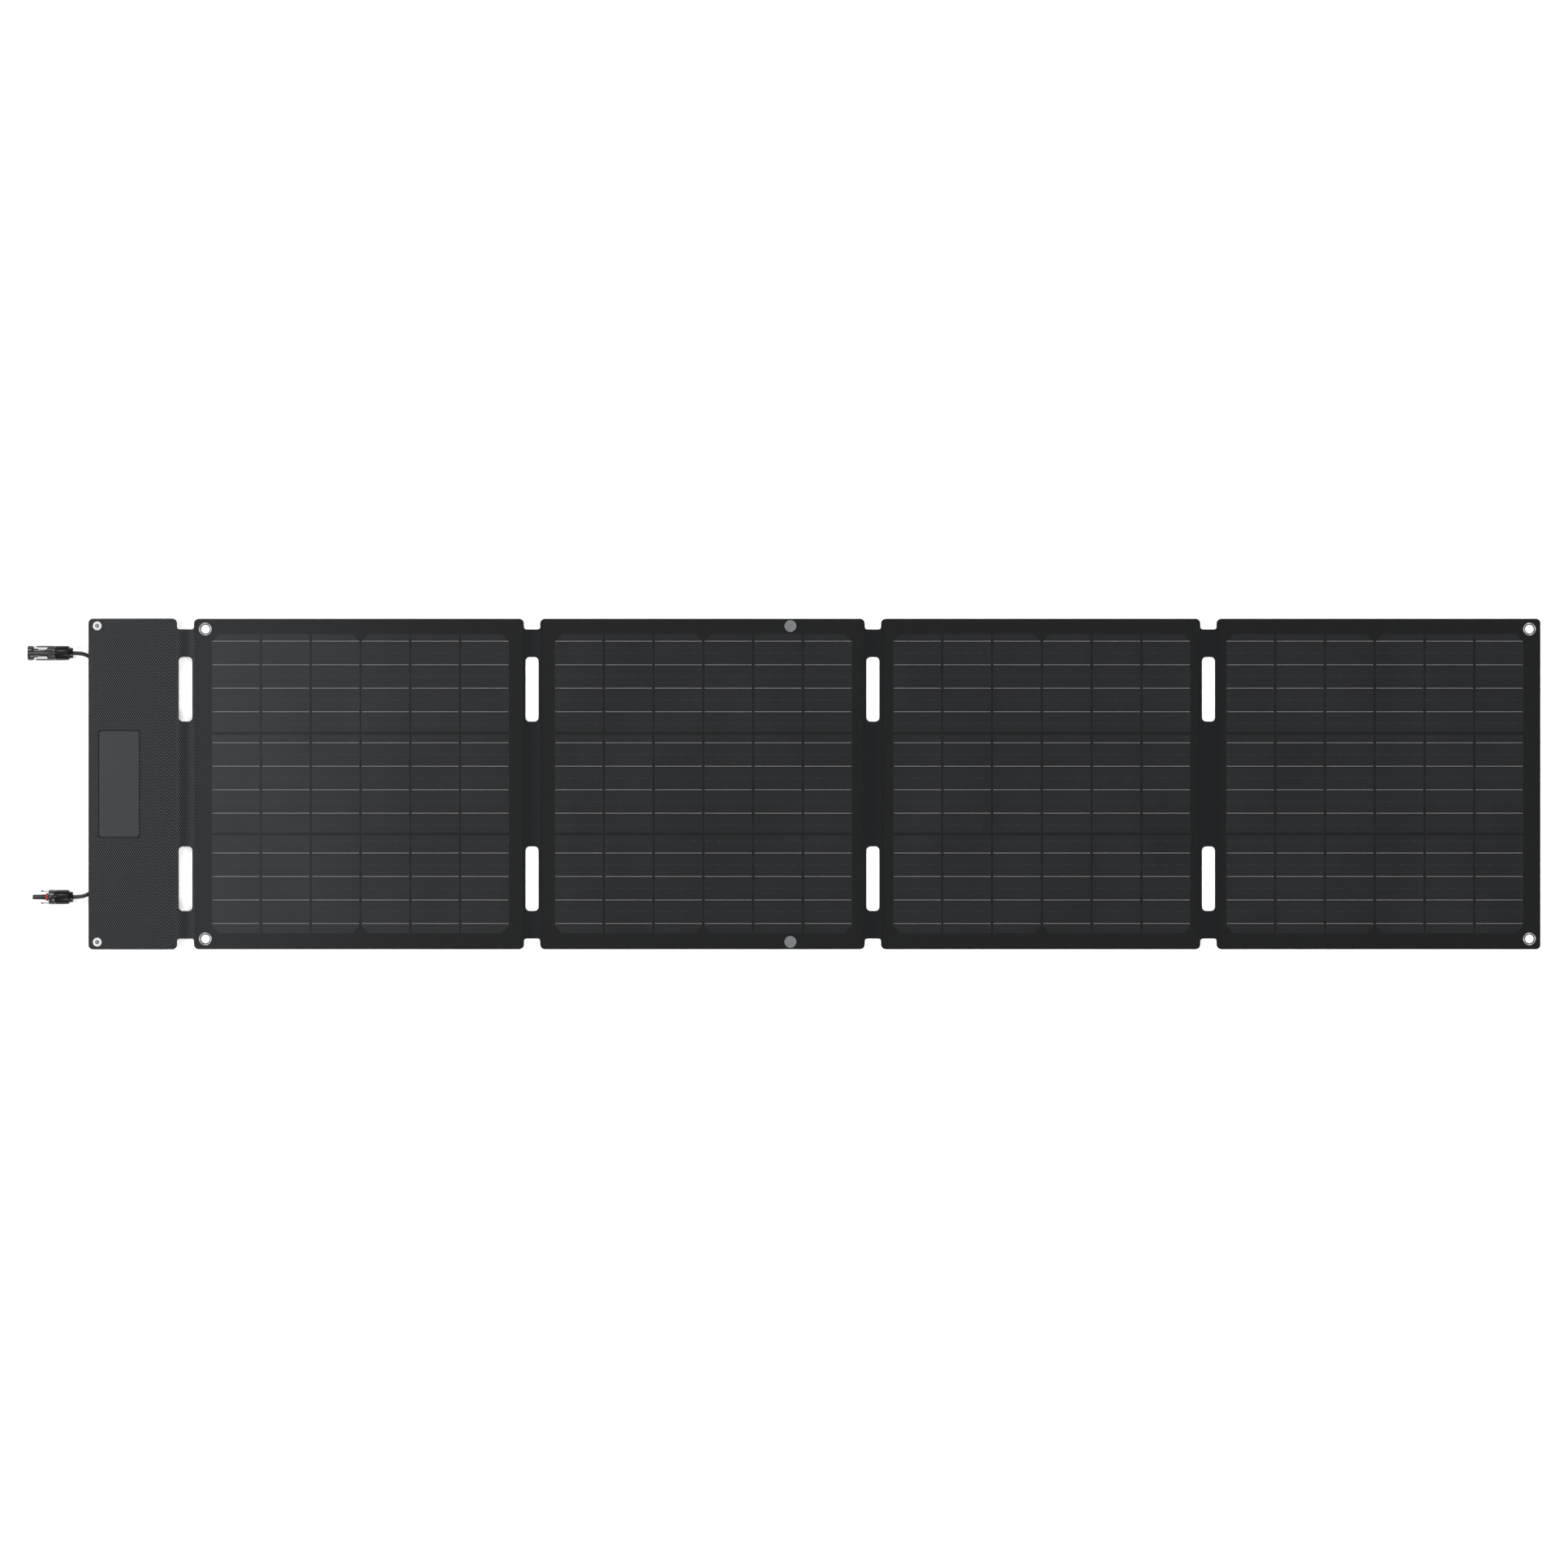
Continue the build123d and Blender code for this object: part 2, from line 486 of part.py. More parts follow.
def plug_nut(y):
    """Ribbed gland nut with a stepped nose round the lead."""
    nut = round_x(PLUG_NUT, PLUG_NOSE, y, PLUG_R, PLUG_R - 0.7)
    rims = nut.edges().filter_by(GeomType.CIRCLE).sort_by(Axis.X)
    nut = chamfer(rims[-1], 1.4)
    half = NUT_RIB_WIDTH / 2
    rib = block(PLUG_NUT + 1.0, PLUG_NOSE - 2.0, -half, half, PLUG_R - 2.0, PLUG_R - 0.25)
    rib = fillet(rib.edges().group_by(Axis.Z)[-1], 0.5)
    for number in range(NUT_RIBS):
        nut += Pos(0, y, PLUG_R) * Rot(number * 360 / NUT_RIBS, 0, 0) * rib
    nose = round_x(PLUG_NOSE, PLUG_REAR, y, PLUG_R, 6.5)
    nut += chamfer(nose.edges().filter_by(GeomType.CIRCLE).sort_by(Axis.X)[-1], 0.6)
    nut -= round_x(PLUG_NUT - 1, -918.5, y, PLUG_R, PLUG_SPIGOT_R + 0.1)
    return nut - round_x(-919.0, PLUG_REAR + 1, y, PLUG_R, LEAD_BORE_R)


def plug_seal(y):
    """Rubber ring that the nut squeezes round the lead."""
    ring = round_x(PLUG_SPIGOT_END, -918.5, y, PLUG_R, 5.6)
    return ring - round_x(PLUG_SPIGOT_END - 1, -918, y, PLUG_R, LEAD_BORE_R)


def pin_contact(y):
    """Solid pin, its crimp and the bared core behind it."""
    pin = round_x(-966.0, -942.0, y, PLUG_R, 2.0)
    pin = fillet(pin.edges().filter_by(GeomType.CIRCLE).sort_by(Axis.X)[0], 1.2)
    return pin + round_x(-942.0, LEAD_END_X, y, PLUG_R, 2.4)


def socket_contact(y):
    """Hollow contact inside the probe, its crimp and the bared core behind it."""
    tube = round_x(-962.0, -943.0, y, PLUG_R, 2.3) - round_x(-963.0, -945.0, y, PLUG_R, 2.0)
    return tube + round_x(-943.0, LEAD_END_X, y, PLUG_R, 2.3)


def o_ring(y):
    """Seal round the foot of the probe."""
    ring = round_x(-946.8, -943.9, y, PLUG_R, 4.6)
    ring = fillet(ring.edges().filter_by(GeomType.CIRCLE), 0.9)
    return ring - round_x(-948, -943, y, PLUG_R, 3.1)


def leads_and_plugs():
    """Both leads with every piece of their plugs."""
    lead("first_lead_cable", FIRST_LEAD)
    lead("second_lead_cable", SECOND_LEAD)
    save("first_plug_housing", first_housing(PLUG_FIRST_Y))
    save("second_plug_housing", second_housing(PLUG_SECOND_Y))
    save("first_plug_contact", pin_contact(PLUG_FIRST_Y))
    save("second_plug_contact", socket_contact(PLUG_SECOND_Y))
    save("second_plug_o_ring", o_ring(PLUG_SECOND_Y))
    for name, y in (("first", PLUG_FIRST_Y), ("second", PLUG_SECOND_Y)):
        save(f"{name}_plug_nut", plug_nut(y))
        save(f"{name}_plug_seal", plug_seal(y))


# ---- Build ----

edges = [FOLD_FLAP, FOLD_12, FOLD_23, FOLD_34, SHEET_LENGTH / 2 + WEB_HALF]
for index, array_left in enumerate(ARRAY_LEFT):
    panel(
        index + 1, edges[index] + WEB_HALF, edges[index + 1] - WEB_HALF, array_left,
        eyelets={0: EYELETS_1, 3: EYELETS_4}.get(index, ()),
        sockets=SOCKETS if index == 1 else (),
    )
for number, places in ((1, EYELETS_1), (4, EYELETS_4)):
    save(f"panel_{number}_eyelets", *[eyelet(x, y) for x, y in places])
    save(f"panel_{number}_eyelet_washers", *[eyelet_washer(x, y) for x, y in places])
save("fold_web_flap", flap_web())
for name, fold in (("12", FOLD_12), ("23", FOLD_23), ("34", FOLD_34)):
    save(f"fold_web_{name}", fold_web(fold))
flap()
save("flap_snap_studs", *[snap_stud(x, y) for x, y in STUDS])
save("flap_snap_backs", *[snap_back(x, y) for x, y in STUDS])
save("panel_2_snap_caps", *[snap_cap(x, y) for x, y in SOCKETS])
save("panel_2_snap_sockets", *[snap_socket(x, y) for x, y in SOCKETS])
junction_box()
leads_and_plugs()
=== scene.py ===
import json
from math import cos, pi, radians, sin, sqrt

import bmesh
import bpy
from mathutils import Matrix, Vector


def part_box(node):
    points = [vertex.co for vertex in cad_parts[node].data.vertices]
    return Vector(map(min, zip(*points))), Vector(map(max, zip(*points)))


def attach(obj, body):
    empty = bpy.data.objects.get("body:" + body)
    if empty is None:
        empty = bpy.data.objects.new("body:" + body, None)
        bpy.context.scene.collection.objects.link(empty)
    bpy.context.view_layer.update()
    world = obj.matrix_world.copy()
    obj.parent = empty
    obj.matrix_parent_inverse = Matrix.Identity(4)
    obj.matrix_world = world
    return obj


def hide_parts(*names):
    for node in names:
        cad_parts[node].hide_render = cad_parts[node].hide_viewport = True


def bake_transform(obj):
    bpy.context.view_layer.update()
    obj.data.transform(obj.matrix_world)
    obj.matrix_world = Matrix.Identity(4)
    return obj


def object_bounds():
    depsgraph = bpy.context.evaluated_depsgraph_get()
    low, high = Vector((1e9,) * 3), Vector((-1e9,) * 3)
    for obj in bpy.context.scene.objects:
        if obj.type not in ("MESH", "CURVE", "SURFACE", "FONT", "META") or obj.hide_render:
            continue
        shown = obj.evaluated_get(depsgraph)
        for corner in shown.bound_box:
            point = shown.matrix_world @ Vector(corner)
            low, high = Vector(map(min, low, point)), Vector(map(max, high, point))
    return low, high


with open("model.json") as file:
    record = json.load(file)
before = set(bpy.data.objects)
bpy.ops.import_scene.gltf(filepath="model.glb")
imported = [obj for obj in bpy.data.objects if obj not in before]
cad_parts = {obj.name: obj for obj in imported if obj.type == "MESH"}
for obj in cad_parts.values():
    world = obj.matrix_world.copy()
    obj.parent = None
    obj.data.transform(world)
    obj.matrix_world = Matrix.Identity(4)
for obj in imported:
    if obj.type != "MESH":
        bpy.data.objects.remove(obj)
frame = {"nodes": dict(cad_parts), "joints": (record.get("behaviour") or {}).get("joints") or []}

# Looks of a four-panel folding solar sheet: embossed film over dark cells, four flexible fold webs,
# turned metal snaps and eyelets, a junction box under the flap and two short leads.
# Lengths are in metres, and MM turns millimetres into them. The outlines of the webs, the turned
# profiles and the leads' routes are in millimetres, as in the CAD model. X runs along the sheet
# away from the flap, Y across it and Z up.

MM = 0.001
NODES = frame["nodes"]
CAD_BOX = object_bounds()

PANELS = ("panel_1", "panel_2", "panel_3", "panel_4")
PANEL_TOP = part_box("panel_1_front_film")[1].z
FLAP_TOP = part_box("flap_front_film")[1].z
HALF_WIDTH = CAD_BOX[1].y


# ---- Materials ----

# Sockets of a mix node that blends two colours.
MIX_FACTOR, MIX_DARK, MIX_LIGHT, MIX_RESULT = 0, 6, 7, 2


class Finish:
    """A material with a Principled shader, and short ways to add the nodes that feed it."""

    def __init__(self, name, **sockets):
        self.material = bpy.data.materials.new(name)
        self.material.use_nodes = True
        self.tree = self.material.node_tree
        self.shader = self.tree.nodes["Principled BSDF"]
        for socket, value in sockets.items():
            self.shader.inputs[socket.replace("_", " ")].default_value = value
        self.place = self.node("ShaderNodeTexCoord").outputs["Object"]

    def node(self, kind, **settings):
        made = self.tree.nodes.new(kind)
        for name, value in settings.items():
            setattr(made, name, value)
        return made

    def feed(self, socket, value):
        """Link an output to a socket, or set the socket's own value."""
        if isinstance(value, bpy.types.NodeSocket):
            self.tree.links.new(value, socket)
        else:
            socket.default_value = value

    def math(self, operation, *values):
        made = self.node("ShaderNodeMath", operation=operation)
        for socket, value in zip(made.inputs, values):
            self.feed(socket, value)
        return made.outputs[0]

    def split(self):
        """X, Y and Z of the place on the piece."""
        made = self.node("ShaderNodeSeparateXYZ")
        self.feed(made.inputs[0], self.place)
        return made.outputs

    def step(self, value, start, end):
        """0 below start and 1 above end, smooth between them, or the other way round."""
        made = self.node("ShaderNodeMapRange", interpolation_type="SMOOTHSTEP")
        for socket, number in zip(made.inputs, (value, start, end, 0.0, 1.0)):
            self.feed(socket, number)
        return made.outputs[0]

    def past(self, value, middle, half):
        """How far a value lies outside a stretch, given by its middle and half its length."""
        off = self.math("ABSOLUTE", self.math("SUBTRACT", value, middle))
        return self.math("SUBTRACT", off, half)

    def distance(self, a, b):
        """Length of the diagonal of two lengths at right angles."""
        squares = self.math("ADD", self.math("POWER", a, 2.0), self.math("POWER", b, 2.0))
        return self.math("SQRT", squares)

    def noise(self, scale, detail=2.0, stretch=(1, 1, 1)):
        """Noise with a scale in bumps a metre, drawn out along an axis by a small stretch."""
        mapping = self.node("ShaderNodeMapping")
        mapping.inputs["Scale"].default_value = stretch
        self.feed(mapping.inputs["Vector"], self.place)
        made = self.node("ShaderNodeTexNoise")
        made.inputs["Scale"].default_value = scale
        made.inputs["Detail"].default_value = detail
        self.feed(made.inputs["Vector"], mapping.outputs[0])
        return made.outputs["Fac"]

    def ripple(self, value, pitch):
        """Cosine of a length with that pitch, from -1 to 1."""
        return self.math("COSINE", self.math("MULTIPLY", value, 2 * pi / pitch))

    def diamonds(self, x_pitch, y_pitch):
        """Rows of diamonds, each row half a pitch along from the last, from 0 to 1."""
        x, y, _ = self.split()
        product = self.math("MULTIPLY", self.ripple(x, x_pitch), self.ripple(y, y_pitch))
        return self.math("MULTIPLY_ADD", product, 0.5, 0.5)

    def cloth(self, pitch):
        """Plain weave of threads, from 0 to 1: over and under in turn."""
        x, y, _ = self.split()
        across = self.math("ABSOLUTE", self.ripple(x, 2 * pitch))
        along = self.math("ABSOLUTE", self.ripple(y, 2 * pitch))
        over = self.math("MULTIPLY", self.ripple(x, 4 * pitch), self.ripple(y, 4 * pitch))
        over = self.step(over, -0.05, 0.05)
        warp = self.math("MULTIPLY", across, over)
        weft = self.math("MULTIPLY", along, self.math("SUBTRACT", 1.0, over))
        return self.math("ADD", warp, weft)

    def paint(self, factor, dark, light):
        """Base colour between two greys or colours by a factor."""
        made = self.node("ShaderNodeMix", data_type="RGBA")
        self.feed(made.inputs[MIX_FACTOR], factor)
        made.inputs[MIX_DARK].default_value = rgba(dark)
        made.inputs[MIX_LIGHT].default_value = rgba(light)
        self.feed(self.shader.inputs["Base Color"], made.outputs[MIX_RESULT])

    def rough(self, factor, low, high):
        """Roughness between two values by a factor."""
        made = self.node("ShaderNodeMapRange")
        for socket, number in zip(made.inputs, (factor, 0.0, 1.0, low, high)):
            self.feed(socket, number)
        self.feed(self.shader.inputs["Roughness"], made.outputs[0])

    def emboss(self, height, depth, strength=1.0):
        """Bump of that depth in metres."""
        made = self.node("ShaderNodeBump")
        made.inputs["Strength"].default_value = strength
        made.inputs["Distance"].default_value = depth
        self.feed(made.inputs["Height"], height)
        self.feed(self.shader.inputs["Normal"], made.outputs[0])


def rgba(colour):
    """Four channels from a grey or from three channels."""
    channels = (colour,) * 3 if isinstance(colour, (int, float)) else tuple(colour)
    return channels + (1.0,)


# The emboss: pitch of its diamonds, and the heights between which their painted glint sets in.
WEAVE_X, WEAVE_Y = 2.85 * MM, 4.3 * MM
DIAMOND_FROM, DIAMOND_TO = 0.46, 0.95

# Along the sheet, the film's painted glints and the cells' painted sheen stand in for the light
# from the flap's side: full there and gone further on. A little of the painted glint is left
# everywhere.
PAINTED_LIGHT_FULL_X, PAINTED_GLINT_GONE_X, CELL_PAINTED_SHEEN_GONE_X = -0.80, -0.40, -0.10
PAINTED_GLINT_LEFT = 0.14

# Round the plate on the flap there is no emboss up to the first of these distances from the
# plate, and all of it beyond the second. The diamonds' painted glint goes with it, which leaves a
# dark line round the plate: a pressed line, and painted shade at the plate's edge.
PRESSED_SHADE_CLEAR, PRESSED_SHADE_FULL = 1.0 * MM, 1.6 * MM

# Mesh attribute that holds the place of each point of a web before it bends.
FLAT_PLACE = "flat_place"


def film_finish():
    """Clear film over the cells, with embossed diamonds whose light colour is a painted glint,
    strongest by the flap.
    """
    finish = Finish("embossed_film", Alpha=0.30, Specular_IOR_Level=0.29)
    weave = finish.diamonds(WEAVE_X, WEAVE_Y)
    x, _, _ = finish.split()
    # The diamonds' light colour is painted glint off their facets, full towards the flap, where the
    # light comes from, and faint further on.
    painted_light_near_flap = finish.step(x, PAINTED_GLINT_GONE_X, PAINTED_LIGHT_FULL_X)
    painted_glint = finish.math("MULTIPLY_ADD", painted_light_near_flap, 1 - PAINTED_GLINT_LEFT, PAINTED_GLINT_LEFT)
    shown = finish.step(weave, DIAMOND_FROM, DIAMOND_TO)
    finish.paint(finish.math("MULTIPLY", shown, painted_glint), 0.002, (0.073, 0.078, 0.085))
    finish.rough(weave, 0.28, 0.36)
    finish.emboss(weave, 0.12 * MM, 0.8)
    return finish.material


def flap_finish():
    """The same emboss on the black flap, its diamonds painted light as glints, with a pressed line
    round the plate that is painted dark as shade at the plate's edge.
    """
    finish = Finish("flap_film", Specular_IOR_Level=0.24)
    weave = finish.diamonds(WEAVE_X, WEAVE_Y)
    low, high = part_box("box_front_plate")
    middle, half = (low + high) / 2, (high - low) / 2
    x, y, _ = finish.split()
    over_x = finish.past(x, middle.x, half.x)
    over_y = finish.past(y, middle.y, half.y)
    # The diamonds' light colour is painted glint; round the plate it is left out, which paints a dark
    # line there as shade at the plate's edge.
    away = finish.step(finish.math("MAXIMUM", over_x, over_y), PRESSED_SHADE_CLEAR, PRESSED_SHADE_FULL)
    shown = finish.math("MULTIPLY", finish.step(weave, DIAMOND_FROM, DIAMOND_TO), away)
    finish.paint(shown, 0.002, (0.0570, 0.0645, 0.0725))
    finish.rough(weave, 0.3, 0.42)
    finish.emboss(finish.math("MULTIPLY", weave, away), 0.15 * MM, 0.8)
    return finish.material


def web_finish(name, gloss, dark, light):
    """Flexible web: the film's emboss, its diamonds painted light as glints, and fine creases, fixed
    to the web as it bends.
    """
    finish = Finish(name, Roughness=0.34, Specular_IOR_Level=gloss)
    flat = finish.node("ShaderNodeAttribute", attribute_name=FLAT_PLACE)
    finish.place = flat.outputs["Vector"]
    weave = finish.diamonds(WEAVE_X, WEAVE_Y)
    crease = finish.noise(260, 3, (1, 0.08, 1))
    # The diamonds' light colour is painted glint off their facets.
    finish.paint(finish.step(weave, DIAMOND_FROM, DIAMOND_TO), dark, light)
    finish.emboss(finish.math("MULTIPLY_ADD", crease, 0.5, weave), 0.1 * MM, 0.6)
    return finish.material


# The cells of a panel, with points more than RIBBON_APART from each other on separate ribbons.
CELL_ROWS, RIBBONS_PER_ROW = 3, 4
RIBBON_APART = 5 * MM

# The marks on a cell. Each fades in from its edge to its core, measured from its own line or
# middle: dark seams along the ribbons, pale pads in a row midway between two ribbons, and a faint
# thread that runs through the pads. Fine fingers cross them, and the flap's side is painted paler,
# a painted sheen for the light from that side.
SEAM_EDGE, SEAM_CORE, SEAM_DARK = 2.3 * MM, 1.5 * MM, 0.4
PAD_EDGE, PAD_CORE, PAD_BRIGHT = 1.15 * MM, 0.45 * MM, 4.8
PAD_START, PAD_PITCH = 13 * MM, 15.3 * MM
THREAD_EDGE, THREAD_CORE, THREAD_BRIGHT = 0.6 * MM, 0.2 * MM, 0.12
FINGER_PITCH, FINGER_TONE = 1.5 * MM, 0.06
FLAP_SIDE_PAINTED_SHEEN = 0.45


def ribbon_lines():
    """Y of each row's first ribbon, and the pitch between ribbons."""
    groups = []
    for vertex in sorted(NODES["panel_1_ribbons"].data.vertices, key=lambda v: v.co.y):
        if not groups or vertex.co.y - groups[-1][-1] > RIBBON_APART:
            groups.append([])
        groups[-1].append(vertex.co.y)
    lines = [(min(group) + max(group)) / 2 for group in groups]
    return lines[0::RIBBONS_PER_ROW], lines[1] - lines[0]


def cell_finish():
    """Near-black silicon: thin fingers, dark seams by the ribbons and rows of small pads."""
    finish = Finish("solar_cell", Roughness=0.35, IOR=1.5, Specular_IOR_Level=0.3)
    starts, pitch = ribbon_lines()
    low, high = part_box("panel_1_cells")
    row_height = (high.y - low.y) / CELL_ROWS
    x, y, _ = finish.split()
    first_line = starts[0]
    for row in range(1, CELL_ROWS):
        in_row = finish.math("GREATER_THAN", y, low.y + row * row_height)
        change = starts[row] - starts[row - 1]
        first_line = finish.math("MULTIPLY_ADD", in_row, change, first_line)
    from_line = finish.math("PINGPONG", finish.math("SUBTRACT", y, first_line), pitch / 2)
    from_middle = finish.math("SUBTRACT", pitch / 2, from_line)
    along = finish.math("PINGPONG", finish.math("SUBTRACT", x, low.x + PAD_START), PAD_PITCH / 2)

    pads = finish.step(finish.distance(from_middle, along), PAD_EDGE, PAD_CORE)
    worn = finish.step(finish.noise(140, 0), 0.35, 0.65)
    thread = finish.step(from_middle, THREAD_EDGE, THREAD_CORE)
    thread = finish.math("MULTIPLY", thread, THREAD_BRIGHT)
    bright = finish.math("MAXIMUM", finish.math("MULTIPLY", pads, worn), thread)
    seam = finish.step(from_line, SEAM_EDGE, SEAM_CORE)
    # Painted sheen: the cells are painted paler towards the flap, for the light from that side.
    painted_light_near_flap = finish.step(x, CELL_PAINTED_SHEEN_GONE_X, PAINTED_LIGHT_FULL_X)

    cloud = finish.noise(11, 3, (1, 0.6, 1))
    tone = finish.math("MULTIPLY_ADD", finish.ripple(x, FINGER_PITCH), FINGER_TONE, cloud)
    tone = finish.math("SUBTRACT", tone, finish.math("MULTIPLY", seam, SEAM_DARK))
    tone = finish.math("MULTIPLY_ADD", bright, PAD_BRIGHT, tone)
    tone = finish.math("MULTIPLY_ADD", painted_light_near_flap, FLAP_SIDE_PAINTED_SHEEN, tone)
    shade = finish.math("MULTIPLY", tone, 0.5)
    finish.paint(shade, (0.036, 0.0378, 0.0403), (0.101, 0.1045, 0.1095))
    return finish.material


def black_glue_finish():
    """Black encapsulant in the gaps and margins, a little uneven."""
    finish = Finish("black_encapsulant", Roughness=0.5)
    finish.paint(finish.noise(60, 3), (0.0092, 0.0102, 0.0112), (0.0155, 0.0171, 0.0189))
    finish.emboss(finish.noise(400, 2), 0.05 * MM, 0.3)
    return finish.material


def ribbon_finish():
    """Tinned ribbon, faintly drawn along its length."""
    finish = Finish("tinned_ribbon", Metallic=0.15)
    drawn = finish.noise(900, 2, (0.05, 1, 1))
    finish.paint(drawn, (0.47, 0.47, 0.48), (0.56, 0.56, 0.57))
    finish.rough(drawn, 0.35, 0.55)
    return finish.material


def cloth_finish():
    """Black woven polyester on the back."""
    finish = Finish("back_fabric", Specular_IOR_Level=0.12, Sheen_Weight=0.04, Sheen_Roughness=0.5)
    threads = finish.cloth(0.55 * MM)
    slub = finish.noise(90, 3, (0.25, 1, 1))
    shade = finish.math("MULTIPLY", threads, finish.math("MULTIPLY_ADD", slub, 0.5, 0.7))
    finish.paint(shade, 0.005, (0.030, 0.031, 0.034))
    finish.rough(threads, 0.9, 0.72)
    finish.emboss(threads, 0.12 * MM, 0.8)
    return finish.material


def board_finish():
    """Black glass-fibre board with its weave just showing."""
    finish = Finish("glass_fibre_board", IOR=1.5)
    strands = finish.cloth(0.9 * MM)
    finish.paint(strands, 0.012, (0.035, 0.034, 0.03))
    finish.rough(strands, 0.6, 0.4)
    finish.emboss(strands, 0.03 * MM, 0.4)
    return finish.material


def moulded_finish(name, dark, light, roughness, grain=0.03, gloss=0.5):
    """Moulded plastic with a fine spark-eroded grain and a slightly uneven sheen."""
    finish = Finish(name, IOR=1.5, Specular_IOR_Level=gloss)
    finish.paint(finish.noise(35, 2), dark, light)
    finish.rough(finish.noise(220, 3), roughness - 0.05, roughness + 0.08)
    finish.emboss(finish.noise(2600, 2), grain * MM, 0.5)
    return finish.material


def metal_finish(name, dark, light, roughness, metallic=1.0, stretch=(1, 1, 1)):
    """Plated metal, with fine scuffs in its roughness."""
    finish = Finish(name, Metallic=metallic)
    finish.paint(finish.noise(160, 3, stretch), dark, light)
    finish.rough(finish.noise(1500, 4, stretch), roughness * 0.7, roughness * 1.3)
    finish.emboss(finish.noise(1900, 2, stretch), 0.01 * MM, 0.25)
    return finish.material


def circuit_board_finish():
    """Green solder mask over parallel copper runs."""
    finish = Finish("circuit_board", IOR=1.5, Roughness=0.32)
    _, y, _ = finish.split()
    run = finish.step(finish.ripple(y, 11 * MM), -0.2, 0.0)
    finish.paint(run, (0.008, 0.06, 0.022), (0.03, 0.17, 0.06))
    finish.emboss(run, 0.035 * MM, 0.8)
    return finish.material


def jacket_finish():
    """Black cable jacket with a soft gloss and faint extrusion lines."""
    finish = Finish("lead_jacket", IOR=1.5, Specular_IOR_Level=0.3)
    lines = finish.noise(700, 2, (0.2, 0.2, 1))
    finish.paint(lines, 0.008, 0.016)
    finish.rough(lines, 0.30, 0.42)
    finish.emboss(lines, 0.02 * MM, 0.3)
    return finish.material


def floor_finish():
    """Plain pale floor, with a faint glow that lifts it to white."""
    finish = Finish("pale_floor", Roughness=0.9, Specular_IOR_Level=0.0, Emission_Strength=0.32)
    finish.shader.inputs["Emission Color"].default_value = rgba(1.0)
    finish.paint(finish.noise(2, 1), 0.86, 0.88)
    return finish.material


# ---- Fold webs ----

# Outline of a web, in millimetres from the middle of its fold: a notch at each end with a rounded
# mouth, and two lacing slots.
WEB_HALF = 12.0
NOTCH_FLOOR_Y, NOTCH_HALF, NOTCH_CORNER = 190.5, 10.0, 3.0
MOUTH_CORNER = 6.0
SLOT_HALF, SLOT_CORNER = 8.0, 5.0
SLOT_NEAR_Y, SLOT_FAR_Y = 77.0, 156.4

# The mesh: steps along its round corners in degrees, and the least distance between columns.
CORNER_STEP = 15
COLUMNS_APART = 0.08

# How far the web's top dips and its bottom rises at the fold, and how much of the flap web's
# climb is an even slope, the rest being eased at both ends.
WEB_TOP_DIP, WEB_BOTTOM_RISE = 0.4, 0.3
EVEN_SLOPE = 0.6


def web_columns():
    """Distances from the fold where the web's mesh has a column, close where an edge curves."""
    quarter = [radians(CORNER_STEP) * n for n in range(90 // CORNER_STEP + 1)]
    places = {float(n) for n in range(int(WEB_HALF) + 1)}
    places |= {NOTCH_HALF - NOTCH_CORNER * (1 - sin(a)) for a in quarter}
    places |= {SLOT_HALF - SLOT_CORNER * (1 - sin(a)) for a in quarter}
    mouth = [NOTCH_HALF + MOUTH_CORNER * (1 - cos(a)) for a in quarter]
    places |= {place for place in mouth if place < WEB_HALF}
    half = []
    for place in sorted(places):
        if not half or place - half[-1] > COLUMNS_APART:
            half.append(place)
    return [-place for place in reversed(half[1:])] + half


def corner_drop(radius, inset):
    """How far a round corner has left its straight edge, at an inset past the round's start."""
    return radius - sqrt(max(0.0, radius**2 - max(0.0, inset)**2))


def web_rows(x):
    """Y of the slot's near and far ends, the notch floor and the outer edge at one column."""
    off = abs(x)
    slot_end = corner_drop(SLOT_CORNER, min(off, SLOT_HALF) - SLOT_HALF + SLOT_CORNER)
    notch_end = corner_drop(NOTCH_CORNER, min(off, NOTCH_HALF) - NOTCH_HALF + NOTCH_CORNER)
    mouth = corner_drop(MOUTH_CORNER, NOTCH_HALF + MOUTH_CORNER - max(off, NOTCH_HALF))
    outer_y = HALF_WIDTH / MM - mouth
    return SLOT_NEAR_Y + slot_end, SLOT_FAR_Y - slot_end, NOTCH_FLOOR_Y + notch_end, outer_y


def web_cells(columns):
    """The quads of the web seen from above, as corner places in the order of its outline."""
    quads = []
    for x0, x1 in zip(columns, columns[1:]):
        inside = abs(x0 + x1) / 2
        near0, far0, floor0, outer0 = web_rows(x0)
        near1, far1, floor1, outer1 = web_rows(x1)
        bands = [(-near0, near0, -near1, near1)]
        for side in (-1, 1):
            bands.append((side * far0, side * floor0, side * far1, side * floor1))
            if inside > SLOT_HALF:
                bands.append((side * near0, side * far0, side * near1, side * far1))
            if inside > NOTCH_HALF:
                bands.append((side * floor0, side * outer0, side * floor1, side * outer1))
        for a0, b0, a1, b1 in bands:
            low0, high0 = sorted((a0, b0))
            low1, high1 = sorted((a1, b1))
            quads.append([(x0, low0), (x1, low1), (x1, high1), (x0, high0)])
    return quads


def web_heights(x, rise):
    """Bottom and top of the web at a distance from the fold; the flap's web also climbs."""
    across = x / WEB_HALF
    sag = (1 - across * across) ** 2
    t = (1 - across) / 2
    lift = rise * (EVEN_SLOPE * t + (1 - EVEN_SLOPE) * t * t * (3 - 2 * t))
    top = PANEL_TOP / MM - WEB_TOP_DIP * sag
    return WEB_BOTTOM_RISE * sag + lift, top + lift


